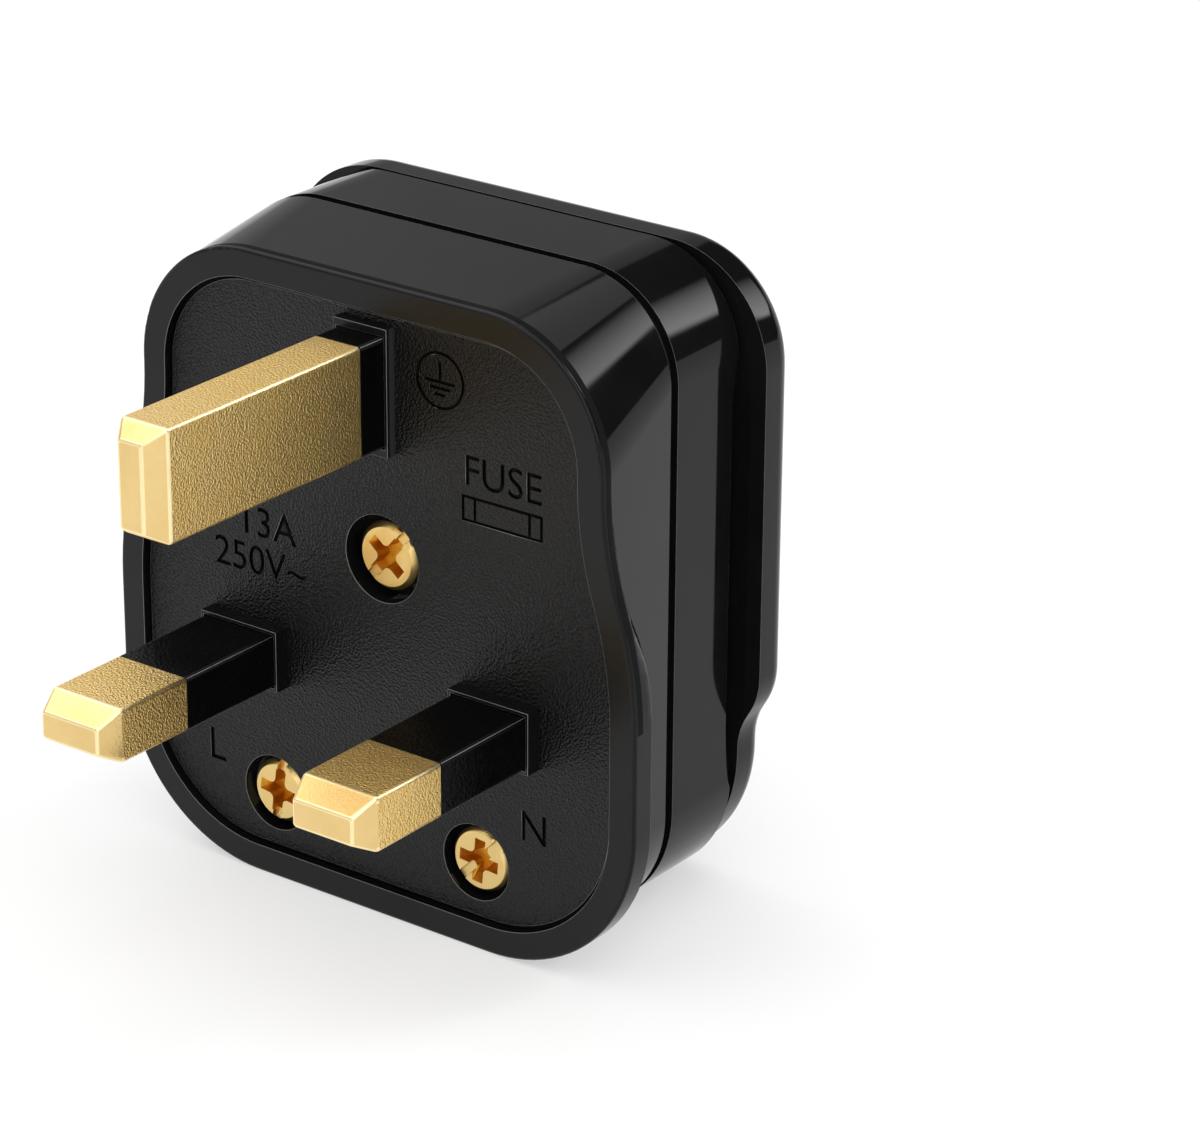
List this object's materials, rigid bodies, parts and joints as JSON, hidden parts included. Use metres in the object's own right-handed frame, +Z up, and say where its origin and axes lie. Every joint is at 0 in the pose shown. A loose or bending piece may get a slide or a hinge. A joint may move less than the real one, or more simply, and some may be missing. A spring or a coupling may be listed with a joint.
{
  "type": "uk three pin plug",
  "caption": "Rewirable fused mains plug: black two-part moulded body with brass blades, sleeved line and neutral pins and a cord inlet in its lower edge.",
  "frame": {"origin": "on the floor under the middle of the plug, 1.2 mm in front of the plane of the pin face's rim", "axes": "+X to the right as the pin face is looked at, +Y into the plug, away from the pins, +Z up, from the cord edge to the earth pin"},
  "size_m": [0.0458, 0.044, 0.0483],
  "materials": {
    "black_gloss": "polished sides, fine grain on the face, coarse grain on the rear",
    "sleeve_black": "satin",
    "grip_black": "matte",
    "brass": "satin, fine sand grain",
    "screw_brass": "polished",
    "clip_metal": "plated",
    "plated_steel": "plated",
    "ceramic": "unglazed"
  },
  "bodies": {
    "root": {"base": "black_gloss", "cover": "black_gloss", "earth_pin": "brass", "line_pin": "brass", "neutral_pin": "brass", "earth_pin_sleeve": "sleeve_black", "line_pin_sleeve": "sleeve_black", "neutral_pin_sleeve": "sleeve_black", "line_terminal": "brass", "earth_terminal_screw": "plated_steel", "line_terminal_screw": "plated_steel", "neutral_terminal_screw": "plated_steel", "fuse_clip_lower": "clip_metal", "fuse_clip_upper": "clip_metal", "fuse_tube": "ceramic", "fuse_cap_lower": "clip_metal", "fuse_cap_upper": "clip_metal", "fuse_element": "clip_metal", "cover_screw": "screw_brass", "cover_screw_insert": "brass", "cord_grip_bar": "grip_black", "cord_grip_screw_left": "screw_brass", "cord_grip_screw_right": "screw_brass", "cord_grip_nut_left": "plated_steel", "cord_grip_nut_right": "plated_steel"}
  },
  "joints": []
}
